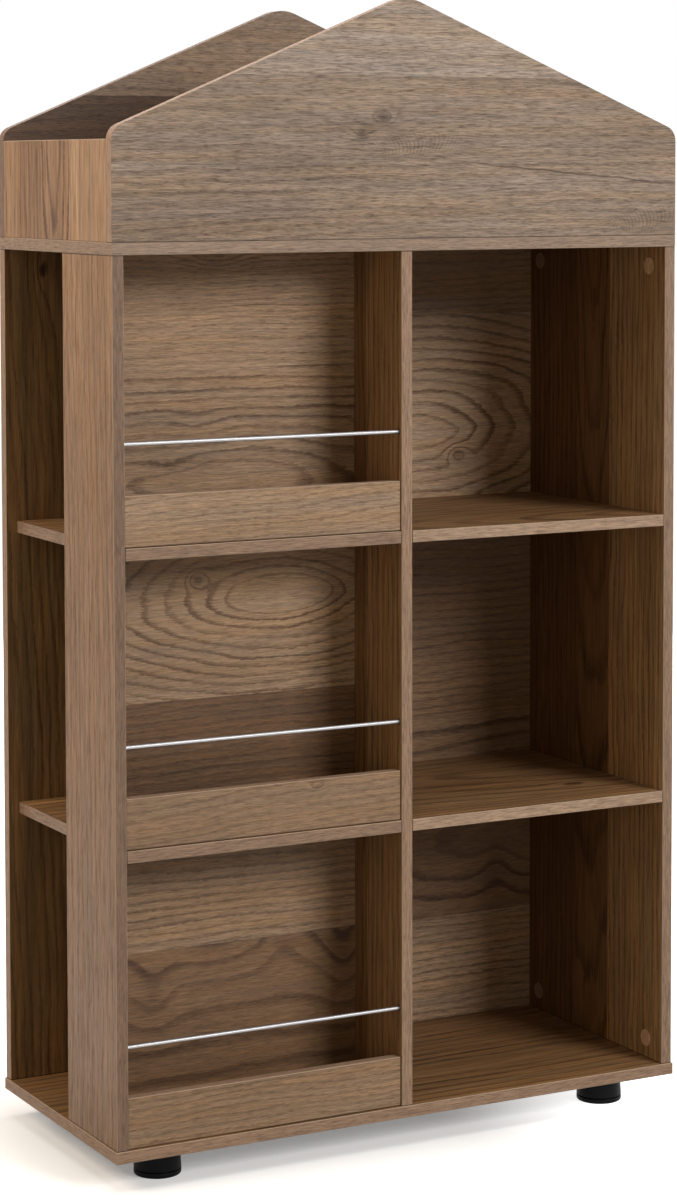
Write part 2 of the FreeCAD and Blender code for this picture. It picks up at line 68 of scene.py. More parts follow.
class Tree:
    """Short calls that add linked nodes to a new material, or to the world."""

    def __init__(self, name, owner=None):
        self.material = owner or bpy.data.materials.new(name)
        self.material.use_nodes = True
        self.nodes = self.material.node_tree.nodes
        self.links = self.material.node_tree.links
        self.nodes.clear()

    def feed(self, socket, value):
        if isinstance(value, bpy.types.NodeSocket):
            self.links.new(value, socket)
        else:
            socket.default_value = value

    def add(self, kind, inputs=None, **settings):
        node = self.nodes.new(f"ShaderNode{kind}")
        for name, value in settings.items():
            setattr(node, name, value)
        for name, value in (inputs or {}).items():
            self.feed(node.inputs[name], value)
        return node

    def math(self, operation, *values):
        node = self.add("Math", operation=operation)
        for socket, value in zip(node.inputs, values):
            self.feed(socket, value)
        return node.outputs[0]

    def vector(self, operation, *values):
        node = self.add("VectorMath", operation=operation)
        for socket, value in zip(node.inputs, values):
            self.feed(socket, value)
        return node.outputs["Value" if operation in ("LENGTH", "DOT_PRODUCT") else "Vector"]

    def combine(self, x, y, z):
        return self.add("CombineXYZ", {"X": x, "Y": y, "Z": z}).outputs[0]

    def stretched(self, vector, x, y, z):
        return self.vector("MULTIPLY", vector, (x, y, z))

    def noise(self, vector, detail=2.0, roughness=0.5):
        settings = {"Vector": vector, "Scale": 1.0, "Detail": detail, "Roughness": roughness}
        return self.add("TexNoise", settings).outputs[0]

    def random(self, value):
        """A random number from 0 to 1 for each whole number."""
        node = self.add("TexWhiteNoise", {"W": value}, noise_dimensions="1D")
        return self.add("SeparateColor", {"Color": node.outputs["Color"]}).outputs[0]

    def spread(self, value, low, high, to_low=0.0, to_high=1.0, smooth=False):
        kind = "SMOOTHSTEP" if smooth else "LINEAR"
        limits = {"Value": value, "From Min": low, "From Max": high, "To Min": to_low, "To Max": to_high}
        return self.add("MapRange", limits, interpolation_type=kind).outputs["Result"]

    def level(self, noise, low, high):
        """A number between two levels that follows a noise."""
        return self.spread(noise, NOISE_LOW, NOISE_HIGH, low, high)

    def ramp(self, noise, dark, light):
        """A colour between two others that follows a noise."""
        node = self.add("ValToRGB", {"Fac": noise})
        first, last = node.color_ramp.elements
        first.position = NOISE_LOW
        first.color = dark
        last.position = NOISE_HIGH
        last.color = light
        return node.outputs["Color"]

    def blend(self, amount, first, second, kind="MIX"):
        node = self.add("Mix", data_type="RGBA", blend_type=kind)
        self.feed(node.inputs[0], amount)
        self.feed(node.inputs[6], first)
        self.feed(node.inputs[7], second)
        return node.outputs[2]

    def surface(self, colour, roughness, height, bump, **constants):
        shader = self.add("BsdfPrincipled", {"Base Color": colour, "Roughness": roughness})
        for name, value in constants.items():
            shader.inputs[name].default_value = value
        relief = {"Height": height, "Strength": bump, "Distance": RELIEF}
        self.links.new(self.add("Bump", relief).outputs[0], shader.inputs["Normal"])
        return self.shade(shader.outputs[0])

    def seen(self):
        """1 for what the camera sees, also in gloss or through glass, and 0 for light that falls."""
        path = self.add("LightPath").outputs
        mirrored = self.math("MAXIMUM", path["Is Glossy Ray"], path["Is Transmission Ray"])
        return self.math("MAXIMUM", path["Is Camera Ray"], mirrored)

    def shade(self, shader):
        output = self.add("OutputMaterial")
        self.links.new(shader, output.inputs["Surface"])
        return self.material


# Oak-look laminate

GREY_OAK = srgb(146, 126, 109)
TAN_OAK = srgb(148, 120, 94)
WARM_OAK = srgb(150, 117, 88)
DARK_OAK = srgb(132, 98, 64)
OLIVE_OAK = srgb(134, 104, 70)
BAND = srgb(152, 123, 100)
DULL_BAND = srgb(122, 97, 79)
FRONT_BAND = srgb(142, 115, 94)
GABLE_BAND = srgb(160, 133, 112)
GREY_BAND = srgb(146, 123, 105)
SHELF_BAND = srgb(168, 140, 116)
ARRIS_HIGHLIGHT = srgb(172, 149, 128)
RING_SHADE = (0.34, 0.27, 0.22, 1)
PORE_SHADE = (0.42, 0.36, 0.32, 1)
SEAM_SHADE = (0.20, 0.16, 0.13, 1)
COOL_SHADE = (0.965, 1.0, 1.045, 1)
WARM_SHADE = (1.05, 1.0, 0.90, 1)
WHITE = (1, 1, 1, 1)
AXES = {"X": 0, "Y": 1, "Z": 2}

# Half widths of the lines of painted shade at seams and of the partly painted dark rims round holes.
SEAM = 0.0010
HOLE_RIM = 0.0050

# How often a pattern repeats in a metre, along and across the grain.
CLOUDS = (2.5, 16.0)
HUES = (3.0, 60.0)
FADING = (5.0, 20.0)
STREAKS = (4.0, 140.0)
FIBRES = (40.0, 640.0)
PORES = (70.0, 720.0)
STREAK_WAVES = (18.0, 0.0)
FLECK_WAVES = (80.0, 80.0)
FLECK_PATCHES = (50.0, 140.0)

# The stretch of a noise's values over which each pattern comes in.
HUES_IN = (0.35, 0.65)
FADING_IN = (0.36, 0.58)
PORES_IN = (0.50, 0.62)
FLECK_PATCHES_IN = (0.32, 0.52)

# The waves of the growth rings: how far they swing and how often they repeat.
RING_WAVES = ((0.012, (4.0, 14.0)), (0.0034, (16.0, 50.0)), (0.0024, (120.0, 420.0)))
STREAK_SWING = 0.004

# Where in a ring its dark late wood begins and ends, as parts of the ring, the rings after which the
# clear heart ends, and how strong the weakest and the faded rings are.
LATE_BEGINS = (0.45, 0.80)
LATE_ENDS = (0.85, 0.95)
CLEAR_HEART = (0.7, 1.3)
WEAKEST_RING = 0.55
FADED_RING = 0.60

# How strongly lightness swings with the clouds, the streaks of a band and the fibres.
CLOUD_SWING = 0.15
BAND_STREAK_SWING = 0.10
BAND_FIBRE_SWING = 0.32
FIBRE_SWING = 0.21

# How strong the pores are on a band, and on a face between its rings and in them.
BAND_PORES = 0.40
PORES_BETWEEN_RINGS = 0.55
PORES_IN_RINGS = 0.95

# The laminate's relief and gloss; pores are duller than the rest.
FIBRE_HEIGHT = 0.3
LAMINATE_BUMP = 0.2
LAMINATE_SPECULAR = 0.3
LAMINATE_ROUGHNESS = (0.50, 0.66)

# Powers by which a darker plank loses green and blue, and by which a knot's shade is sharper than
# its push on the rings; patterns on a coarse face grow longer by more than they grow wide.
LESS_GREEN = 1.25
LESS_BLUE = 1.55
KNOT_CORE = 3.0
COARSE_LENGTH = 1.6

# Marks of a fleck: their spacing, how they fan out and bend across the grain, and their strength.
FLECK_SPACING = 0.0056
FLECK_FAN = -14.0
FLECK_BEND = 25.0
FLECK_WANDER = 2.2
FLECK_STRENGTH = 0.55

# How squarely a surface faces the board's thickness: below the first limit it is an edge band, above
# the second a face, and between the two the eased arris. A band that faces along the grain by more
# than the last limit is at the board's end.
BAND_LIMIT = 0.4
FACE_LIMIT = 0.95
END_LIMIT = 0.6

# One plank of a printed board: where it starts across the grain, its lightness, the place of the
# heart of its growth rings along and across the grain, how many times longer than wide the rings
# are, their spacing and their strength.
Plank = namedtuple("Plank", "start light along across stretch spacing rings")

# A figure bends the rings round a place, as a knot does: its place along and across the grain, its
# reach both ways, how far it pushes the rings and how dark it is. A figure that pushes nothing only
# darkens a broad patch, as painted shade.
Figure = namedtuple("Figure", "along across reach_along reach_across push dark")

# A streak is a thin dark line: its middle, half length, slope and half width.
Streak = namedtuple("Streak", "along across reach slope width")

# A fleck is a row of short curved marks across the grain, as medullary rays leave.
Fleck = namedtuple("Fleck", "along across reach_along reach_across")

# A board's print: directions of its grain and of its planks' width, its colour, its planks and
# figures, the colour of its edge bands, its streaks and flecks, how fine its fibres are, how strong
# its pores are, how streaky it is, the ends where a seam shows as a line of painted shade (direction,
# and 0 for the low or 1 for the high end), its holes, which get dark rims partly of painted shade,
# and the lightness of its rear face where that differs.
Print = namedtuple("Print", ("grain", "across", "tint", "planks", "figures", "band", "streaks", "flecks",
                             "fineness", "pored", "streaky", "seams", "holes", "reverse"),
                   defaults=((), BAND, (), (), 1.0, 0.6, 0.14, (), (), None))


def plain_planks(seed, low, high, width, spacing=0.009, rings=0.5):
    """Planks with nearly straight grain, chosen by a seed."""
    chance = random.Random(seed)
    start = low - width * chance.random()
    planks = []
    while start < high:
        side = chance.choice((-1, 1)) * chance.uniform(0.4, 1.6) * width
        planks.append(Plank(start, chance.uniform(0.88, 1.1), chance.uniform(-0.5, 1.0), start + side,
                            chance.uniform(5, 9), spacing * chance.uniform(0.8, 1.2), rings))
        start += width
    return planks


class Oak(Tree):
    """The print of one board: planks, growth rings, pores and fibres, and bands on the edges, with a
    painted highlight on its arrises and painted shade at its seams and holes.
    """

    def __init__(self, node, look):
        super().__init__(f"oak_{node}")
        self.look = look
        self.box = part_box(node)
        self.thick = next(letter for letter in "XYZ" if letter not in (look.grain, look.across))
        self.place = self.add("TexCoord").outputs["Object"]
        self.normal = self.add("TexCoord").outputs["Normal"]
        self.along = self.part_of(self.place, look.grain)
        self.across = self.part_of(self.place, look.across)
        self.deep = self.part_of(self.place, self.thick)
        self.grain = self.combine(self.along, self.across, self.deep)
        self.near_figures = [self.math("MULTIPLY", self.nearness(figure), self.on_plank_of(figure))
                             for figure in look.figures]

    def pattern(self, place, repeats, detail=2.0, roughness=0.5):
        """Noise that repeats so often in a metre along and across the grain."""
        along, across = repeats
        return self.noise(self.stretched(place, along, across, across), detail, roughness)

    def waves(self, place, repeats, size):
        """Waves from about -size to size."""
        return self.math("MULTIPLY", self.math("SUBTRACT", self.pattern(place, repeats), 0.5), 2 * size)

    def part_of(self, vector, letter):
        direction = tuple(1.0 if AXES[letter] == index else 0.0 for index in range(3))
        return self.vector("DOT_PRODUCT", vector, direction)

    def facing(self, letter):
        return self.math("ABSOLUTE", self.part_of(self.normal, letter))

    def of_plank(self, field):
        """The value that a field has on the plank at hand."""
        planks = self.look.planks
        value = getattr(planks[0], field)
        for before, plank in zip(planks, planks[1:]):
            change = getattr(plank, field) - getattr(before, field)
            step = self.math("GREATER_THAN", self.across, plank.start)
            value = self.math("MULTIPLY_ADD", step, change, value)
        return value

    def bell(self, value):
        """1 where the value is 0, and soon 0 on both sides."""
        return self.math("EXPONENT", self.math("MULTIPLY", self.math("MULTIPLY", value, value), -1.0))

    def nearness(self, mark):
        """1 at the middle of a figure or fleck, and 0 beyond its reach."""
        apart = self.vector("SUBTRACT", self.grain, (mark.along, mark.across, 0.0))
        apart = self.stretched(apart, 1 / mark.reach_along, 1 / mark.reach_across, 0.0)
        return self.bell(self.vector("LENGTH", apart))

    def on_plank_of(self, figure):
        """1 on the plank that a figure lies on, and 0 on its neighbours."""
        share = 1.0
        for plank in self.look.planks[1:]:
            side = "GREATER_THAN" if figure.across > plank.start else "LESS_THAN"
            share = self.math("MULTIPLY", self.math(side, self.across, plank.start), share)
        return share

    def streak_at(self, streak):
        from_middle = self.math("SUBTRACT", self.along, streak.along)
        line = self.math("MULTIPLY_ADD", from_middle, streak.slope, streak.across)
        wander = self.waves(self.grain, STREAK_WAVES, STREAK_SWING)
        off = self.math("SUBTRACT", self.across, self.math("ADD", line, wander))
        thin = self.bell(self.math("DIVIDE", off, streak.width))
        away = self.math("ABSOLUTE", from_middle)
        tapered = self.spread(away, 0.4 * streak.reach, streak.reach, 1.0, 0.0, smooth=True)
        return self.math("MULTIPLY", thin, tapered)

    def fleck_at(self, fleck):
        beside = self.math("SUBTRACT", self.along, fleck.along)
        off = self.math("SUBTRACT", self.across, fleck.across)
        fanned = self.math("MULTIPLY", beside, self.math("MULTIPLY_ADD", off, FLECK_FAN, 1.0))
        bent = self.math("MULTIPLY_ADD", self.math("MULTIPLY", off, off), FLECK_BEND, fanned)
        in_plane = self.combine(self.along, self.across, 0.0)
        wander = self.waves(in_plane, FLECK_WAVES, FLECK_WANDER)
        wave = self.math("SINE", self.math("MULTIPLY_ADD", bent, 2 * math.pi / FLECK_SPACING, wander))
        patches = self.spread(self.pattern(in_plane, FLECK_PATCHES), *FLECK_PATCHES_IN)
        marks = self.math("MULTIPLY", self.spread(wave, 0.0, 0.9), patches)
        return self.math("MULTIPLY", marks, self.nearness(fleck))

    def seam_shade_at(self, letter, end):
        """A thin dark line of painted shade, for the gap where the board meets its neighbour, at its low
        or its high end.
        """
        off = self.math("SUBTRACT", self.part_of(self.place, letter), self.box[end][AXES[letter]])
        near = self.math("LESS_THAN", self.math("ABSOLUTE", off), SEAM)
        return self.math("MULTIPLY", near, self.math("LESS_THAN", self.facing(letter), 0.5))

    def hole_rim_and_shade_at(self, along, across):
        """The dark rim of a hole drilled into the face on the low side: the cut board, with painted
        shade of the gap round the rod.
        """
        off = self.vector("SUBTRACT", self.grain, (along, across, 0.0))
        apart = self.vector("LENGTH", self.stretched(off, 1.0, 1.0, 0.0))
        rim = self.spread(apart, 0.7 * HOLE_RIM, HOLE_RIM, 1.0, 0.0, smooth=True)
        on_low_side = self.math("LESS_THAN", self.part_of(self.normal, self.thick), -0.5)
        return self.math("MULTIPLY", rim, on_low_side)

    def rings(self):
        """How strongly each place lies in the dark late wood of a growth ring, 0 to 1."""
        from_heart = self.math("SUBTRACT", self.along, self.of_plank("along"))
        from_heart = self.math("DIVIDE", from_heart, self.of_plank("stretch"))
        off_heart = self.math("SUBTRACT", self.across, self.of_plank("across"))
        radius = self.vector("LENGTH", self.combine(from_heart, off_heart, 0.0))
        for size, repeats in RING_WAVES:
            radius = self.math("ADD", radius, self.waves(self.grain, repeats, size))
        strength = self.of_plank("rings")
        for figure, near in zip(self.look.figures, self.near_figures):
            radius = self.math("MULTIPLY_ADD", near, figure.push, radius)
            strength = self.math("MULTIPLY_ADD", near, figure.dark, strength)
        counted = self.math("DIVIDE", radius, self.of_plank("spacing"))
        part = self.math("FRACT", counted)
        rise = self.spread(part, *LATE_BEGINS, smooth=True)
        fall = self.spread(part, *LATE_ENDS, 1.0, 0.0, smooth=True)
        late = self.math("MULTIPLY", rise, fall)
        uneven = self.spread(self.random(self.math("FLOOR", counted)), 0.0, 1.0, WEAKEST_RING, 1.0)
        faded = self.spread(self.pattern(self.grain, FADING), *FADING_IN, FADED_RING, 1.0)
        clear_heart = self.spread(counted, *CLEAR_HEART, smooth=True)
        for share in (uneven, faded, clear_heart, strength):
            late = self.math("MULTIPLY", late, share)
        return late

    def shaded(self, colour, amount, shade):
        return self.blend(1.0, colour, self.blend(amount, WHITE, shade), "MULTIPLY")

    def lit(self, colour, level):
        return self.blend(1.0, colour, self.combine(level, level, level), "MULTIPLY")

    def swung(self, noise, swing):
        """A lightness of 1, more or less by a swing that follows a noise."""
        return self.math("MULTIPLY_ADD", self.level(noise, -1.0, 1.0), swing, 1.0)

    def face(self, streaks, pores):
        """The printed face, without its fibres."""
        late = self.rings()
        cloud = self.pattern(self.grain, CLOUDS, 3.0, 0.55)
        hue = self.pattern(self.grain, HUES, 3.0)
        light = self.of_plank("light")
        if self.look.reverse:
            behind = self.math("GREATER_THAN", self.part_of(self.normal, self.thick), 0.5)
            light = self.spread(behind, 0.0, 1.0, light, self.look.reverse)
        # Darker planks are warmer.
        green = self.math("POWER", light, LESS_GREEN)
        blue = self.math("POWER", light, LESS_BLUE)
        warmed = self.combine(light, green, blue)
        colour = self.blend(1.0, self.look.tint, warmed, "MULTIPLY")
        colour = self.lit(colour, self.swung(streaks, self.look.streaky))
        colour = self.lit(colour, self.swung(cloud, CLOUD_SWING))
        tone = self.blend(self.spread(hue, *HUES_IN), COOL_SHADE, WARM_SHADE)
        colour = self.blend(1.0, colour, tone, "MULTIPLY")
        colour = self.shaded(colour, late, RING_SHADE)
        pored = self.look.pored
        in_rings = self.spread(late, 0.0, 0.5, PORES_BETWEEN_RINGS * pored, PORES_IN_RINGS * pored)
        colour = self.shaded(colour, self.math("MULTIPLY", pores, in_rings), PORE_SHADE)
        for figure, near in zip(self.look.figures, self.near_figures):
            core = self.math("MULTIPLY", self.math("POWER", near, KNOT_CORE), figure.dark)
            colour = self.shaded(colour, core, RING_SHADE)
        for streak in self.look.streaks:
            colour = self.shaded(colour, self.streak_at(streak), RING_SHADE)
        for fleck in self.look.flecks:
            marks = self.math("MULTIPLY", self.fleck_at(fleck), FLECK_STRENGTH)
            colour = self.shaded(colour, marks, RING_SHADE)
        return colour

    def choose(self, amount, first, second):
        return self.add("Mix", {0: amount, 4: first, 5: second}, data_type="VECTOR").outputs[1]

    def dressed(self):
        """The finished material."""
        flatness = self.facing(self.thick)
        is_band = self.math("LESS_THAN", flatness, BAND_LIMIT)
        # Bands on the edges run along the edge, also where it crosses the grain, and are fine
        # everywhere.
        is_end = self.math("GREATER_THAN", self.facing(self.look.grain), END_LIMIT)
        fineness = self.look.fineness
        on_face = self.stretched(self.grain, fineness ** COARSE_LENGTH, fineness, fineness)
        turned = self.combine(self.across, self.along, self.deep)
        fine = self.choose(is_end, self.choose(is_band, on_face, self.grain), turned)
        pores = self.spread(self.pattern(fine, PORES, 2.0, 0.6), *PORES_IN, smooth=True)
        fibre = self.pattern(fine, FIBRES, 3.0, 0.65)
        streaks = self.pattern(fine, STREAKS, 4.0, 0.65)

        band = self.shaded(self.look.band, self.math("MULTIPLY", pores, BAND_PORES), PORE_SHADE)
        band = self.lit(band, self.swung(streaks, BAND_STREAK_SWING))
        colour = self.blend(is_band, self.face(streaks, pores), band)
        face_swing = FIBRE_SWING * (1.0 + self.look.pored)
        swing = self.spread(is_band, 0.0, 1.0, face_swing, BAND_FIBRE_SWING)
        colour = self.lit(colour, self.swung(fibre, swing))
        # The eased arrises are painted lighter: a painted highlight along the board's edges.
        is_arris = self.math("MULTIPLY", self.math("GREATER_THAN", flatness, BAND_LIMIT),
                             self.math("LESS_THAN", flatness, FACE_LIMIT))
        colour = self.blend(is_arris, colour, ARRIS_HIGHLIGHT)
        # Lines of painted shade at the seams, and dark rims round the rods' holes that are partly
        # painted shade.
        for seam in self.look.seams:
            colour = self.shaded(colour, self.seam_shade_at(*seam), SEAM_SHADE)
        for hole in self.look.holes:
            colour = self.shaded(colour, self.hole_rim_and_shade_at(*hole), SEAM_SHADE)
        height = self.math("SUBTRACT", self.math("MULTIPLY", fibre, FIBRE_HEIGHT), pores)
        roughness = self.spread(pores, 0.0, 1.0, *LAMINATE_ROUGHNESS)
        return self.surface(colour, roughness, height, LAMINATE_BUMP,
                            **{"Specular IOR Level": LAMINATE_SPECULAR})


RACK_LEVELS = ("lower", "middle", "upper")
ON_BASE = (("Z", 0),)
UPRIGHT_ENDS = (("Z", 0), ("Z", 1))
SHELF_ENDS = (("X", 0), ("X", 1))
RAIL_ENDS = (("Z", 0), ("X", 0), ("X", 1))
ROOF_ENDS = (("Z", 0), ("Y", 0), ("Y", 1))

# How fine the fibres of a print are: 1 on faces to the front, and less where they are coarser.
UPRIGHT = 0.7
SIDEWAYS = 0.43
LYING = 0.33

# The planks of the shelves and rails: their sizes, and how strong the shelves' rings are.
BACK_EDGE = 0.18
SHELF_PLANK = 0.18
SHELF_RINGS = 0.9
RAIL_HEIGHT = 0.06
RAIL_PLANK = 0.30

# Middles of the rods' holes in the divider, by height and depth.
ROD_HOLES = [((low.z + high.z) / 2, (low.y + high.y) / 2)
             for low, high in (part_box(f"rack_rod_{level}") for level in RACK_LEVELS)]


def shelf(seed, low, spacing, band, figures=()):
    """The print of a shelf, with the coarsest fibres."""
    planks = plain_planks(seed, low, BACK_EDGE, SHELF_PLANK, spacing, SHELF_RINGS)
    return Print("X", "Y", DARK_OAK, planks, figures, band, fineness=LYING, seams=SHELF_ENDS)


def rail(seed, low, light, figures=()):
    """The print of a rack rail, one plank high."""
    plank = plain_planks(seed, low, low + RAIL_HEIGHT, RAIL_PLANK)[0]._replace(light=light)
    return Print("X", "Z", TAN_OAK, [plank], figures, seams=RAIL_ENDS)


PRINTS = {
    "front_gable": Print("X", "Z", GREY_OAK, [
        Plank(1.14, 0.975, 0.2, 1.05, 9, 0.012, 0.3),
        Plank(1.347, 1.22, 0.1, 1.60, 9, 0.010, 0.2)], [
        Figure(-0.033, 1.296, 0.015, 0.009, 0.020, 1.1),
        Figure(-0.064, 1.276, 0.013, 0.008, 0.016, 1.1),
        Figure(-0.05, 1.288, 0.07, 0.026, 0.030, 0.24),
        # A broad figure that pushes nothing: painted shade, darker towards the lower left where less
        # light falls.
        Figure(-0.26, 1.175, 0.40, 0.085, 0.0, 0.32)],
        GABLE_BAND, [Streak(0.25, 1.226, 0.22, -0.09, 0.0011)],
        [Fleck(0.015, 1.262, 0.06, 0.014), Fleck(0.36, 1.165, 0.06, 0.016)],
        pored=0.95, streaky=0.20, seams=ON_BASE),
    # The dark lower plank on the back gable's front face is a darker plank with painted shade of the
    # front gable added; its rear face keeps a plain lightness.
    "back_gable": Print("X", "Z", GREY_OAK, [
        Plank(1.14, 0.27, -0.2, 1.05, 8, 0.014, 0.5),
        Plank(1.328, 0.72, 0.1, 1.50, 8, 0.012, 0.35)], band=DULL_BAND, pored=0.95, streaky=0.2,
        seams=ON_BASE, reverse=0.95),
    "roof_side_left": Print("Z", "Y", WARM_OAK, [
        Plank(-0.17, 1.34, 0.9, -0.30, 8, 0.014, 0.4),
        Plank(-0.050, 0.98, 1.29, -0.002, 6, 0.013, 1.6),
        Plank(0.039, 0.90, 0.9, 0.20, 8, 0.013, 0.7),
        Plank(0.111, 1.02, 0.9, 0.30, 8, 0.013, 0.5)], fineness=SIDEWAYS, seams=ROOF_ENDS),
    "roof_side_right": Print("Z", "Y", WARM_OAK, plain_planks(9, -0.17, 0.17, 0.104, 0.013),
                             fineness=SIDEWAYS, seams=ROOF_ENDS),
    "top_board": Print("X", "Y", TAN_OAK, plain_planks(12, -0.18, 0.18, 0.19, 0.016, 0.8),
                       band=GREY_BAND),
    "bottom_board": Print("X", "Y", DARK_OAK, [
        Plank(-0.18, 1.0, 0.215, -0.06, 7, 0.019, 1.0),
        Plank(0.03, 0.92, -0.1, 0.25, 8, 0.016, 0.8)], fineness=LYING),
    "left_side_panel": Print("Z", "Y", WARM_OAK, [
        Plank(-0.18, 1.02, 0.4, 0.10, 9, 0.015, 0.4)], [
        # A broad figure that pushes nothing: painted shade, the panel darker towards the bottom where
        # less light falls.
        Figure(0.2, -0.1, 0.78, 0.52, 0.0, 0.28)], DULL_BAND, [
        Streak(1.04, -0.068, 0.06, 0.02, 0.0015)], fineness=UPRIGHT, seams=UPRIGHT_ENDS),
    "centre_divider": Print("Z", "Y", DARK_OAK, [
        Plank(-0.18, 1.32, 0.5, -0.5, 9, 0.013, 0.8),
        Plank(-0.085, 0.78, 0.7, 0.10, 9, 0.013, 0.9)],
        fineness=SIDEWAYS, seams=UPRIGHT_ENDS, holes=ROD_HOLES),
    # Printed planks, lighter at the front and darker at the rear; their lightness also holds painted
    # light at the front and painted shade at the rear of the cube.
    "right_side_panel": Print("Z", "Y", DARK_OAK, [
        Plank(-0.18, 1.60, 0.5, -0.5, 9, 0.012, 0.8),
        Plank(-0.0455, 0.74, 1.25, -0.005, 9, 0.014, 1.0),
        Plank(0.036, 0.58, 0.5, 0.50, 9, 0.012, 0.8)],
        band=FRONT_BAND, fineness=SIDEWAYS, seams=UPRIGHT_ENDS),
    "left_back_board": Print("Z", "X", OLIVE_OAK, plain_planks(31, -0.4, 0.0, 0.19, 0.012, 0.8), [
        Figure(1.1025, -0.3478, 0.05, 0.016, 0.016, 0.0),
        Figure(1.1025, -0.3478, 0.012, 0.007, 0.006, 2.0)],
        fineness=SIDEWAYS, streaky=0.40, seams=UPRIGHT_ENDS),
    "left_shelf_lower": shelf(33, -0.06, 0.016, FRONT_BAND),
    "left_shelf_upper": shelf(35, -0.06, 0.016, FRONT_BAND),
    "right_shelf_lower": shelf(37, -0.18, 0.018, SHELF_BAND, [
        Figure(0.31, -0.077, 0.03, 0.012, 0.02, 0.5)]),
    "right_shelf_upper": shelf(39, -0.18, 0.018, SHELF_BAND),
    "rack_rail_lower": rail(41, 0.052, 0.98),
    "rack_rail_middle": rail(43, 0.417, 0.92, [Figure(-0.126, 0.470, 0.010, 0.005, 0.012, 0.45)]),
    "rack_rail_upper": rail(45, 0.782, 1.16),
    "rack_back_lower": Print("X", "Z", TAN_OAK, [
        Plank(0.04, 0.64, -0.10, -0.30, 8, 0.040, 0.85),
        Plank(0.256, 1.04, 0.2, 0.70, 9, 0.011, 0.9)], [
        Figure(-0.295, 0.205, 0.030, 0.050, 0.035, 0.35),
        Figure(-0.215, 0.255, 0.055, 0.035, 0.030, 0.35),
        Figure(-0.110, 0.250, 0.030, 0.050, -0.030, 0.40),
        Figure(-0.025, 0.235, 0.028, 0.075, 0.045, 0.45)]),
    "rack_back_middle": Print("X", "Z", TAN_OAK, [
        Plank(0.40, 0.50, 0.1, 0.20, 9, 0.011, 0.7),
        Plank(0.570, 1.12, -0.120, 0.695, 2.8, 0.0115, 1.0)], [
        Figure(-0.231, 0.720, 0.014, 0.012, -0.024, 0.6),
        Figure(-0.100, 0.695, 0.060, 0.016, -0.030, 0.0)]),
    "rack_back_upper": Print("X", "Z", TAN_OAK, [
        Plank(0.77, 1.03, -0.20, 0.845, 5, 0.0135, 1.0),
        Plank(0.985, 1.03, 0.1, 0.40, 9, 0.0085, 0.5)], [
        Figure(-0.263, 0.8636, 0.04, 0.012, 0.012, 0.35),
        Figure(-0.234, 0.915, 0.035, 0.030, 0.008, 0.0),
        Figure(-0.204, 1.123, 0.04, 0.018, 0.016, 0.25)]),
    "right_back_panel": Print("X", "Z", TAN_OAK, [
        Plank(0.04, 1.12, 0.2, -0.30, 9, 0.011, 0.8),
        Plank(0.194, 0.70, 0.40, 0.30, 4, 0.024, 1.0),
        Plank(0.4735, 0.66, 0.1, 1.10, 9, 0.012, 0.7),
        Plank(0.753, 1.30, 0.207, 0.874, 2.2, 0.0145, 1.0),
        Plank(1.0325, 0.9, 0.2, 1.30, 9, 0.010, 0.6)], [
        Figure(0.267, 0.8386, 0.016, 0.012, 0.028, 0.7),
        Figure(0.331, 0.255, 0.030, 0.055, 0.022, 0.35)]),
}


# Other materials

def chrome():
    """Bright steel with fine lines along the rod, as drawing leaves them."""
    tree = Tree("bright_steel")
    place = tree.add("TexCoord").outputs["Object"]
    drawn = tree.noise(tree.stretched(place, 20.0, 900.0, 900.0), 2.0)
    roughness = tree.level(drawn, 0.38, 0.46)
    colour = tree.ramp(drawn, srgb(132, 131, 132), srgb(152, 150, 150))
    return tree.surface(colour, roughness, drawn, 0.04, Metallic=1.0)


def moulded_black():
    """Black plastic with a fine moulded grain."""
    tree = Tree("black_plastic")
    place = tree.add("TexCoord").outputs["Object"]
    grain = tree.noise(tree.stretched(place, 1500.0, 1500.0, 1500.0), 2.0)
    cloud = tree.noise(tree.stretched(place, 40.0, 40.0, 40.0), 2.0)
    colour = tree.ramp(cloud, srgb(4, 4, 6), srgb(9, 9, 12))
    roughness = tree.level(grain, 0.42, 0.56)
    return tree.surface(colour, roughness, grain, 0.15, **{"Specular IOR Level": 0.09})


def brown_plastic():
    """Brown plastic of the cover caps, clouded like the wood."""
    tree = Tree("brown_plastic")
    place = tree.add("TexCoord").outputs["Object"]
    cloud = tree.noise(tree.stretched(place, 60.0, 240.0, 60.0), 3.0)
    fleck = tree.noise(tree.stretched(place, 900.0, 900.0, 300.0), 2.0)
    colour = tree.ramp(cloud, srgb(184, 146, 113), srgb(228, 192, 158))
    # The caps at the rear are darker, like the planks round them: painted shade, as less light reaches
    # the rear of the cubes.
    behind = tree.spread(tree.vector("DOT_PRODUCT", place, (0.0, 1.0, 0.0)), -0.05, 0.05, 1.0, 0.38)
    colour = tree.blend(1.0, colour, tree.combine(behind, behind, behind), "MULTIPLY")
    return tree.surface(colour, tree.level(fleck, 0.4, 0.5), fleck, 0.05)


def zinc():
    """Zinc-plated fittings with faint spangles."""
    tree = Tree("zinc")
    place = tree.add("TexCoord").outputs["Object"]
    spangle = tree.noise(tree.stretched(place, 400.0, 400.0, 400.0), 3.0)
    colour = tree.ramp(spangle, srgb(165, 167, 168), srgb(196, 197, 196))
    return tree.surface(colour, tree.level(spangle, 0.32, 0.46), spangle, 0.05, Metallic=1.0)


def beech():
    """Plain beech with small flecks."""
    tree = Tree("beech")
    place = tree.add("TexCoord").outputs["Object"]
    fleck = tree.noise(tree.stretched(place, 300.0, 300.0, 300.0), 3.0)
    colour = tree.ramp(fleck, srgb(190, 152, 112), srgb(214, 180, 140))
    return tree.surface(colour, tree.level(fleck, 0.55, 0.7), fleck, 0.1)


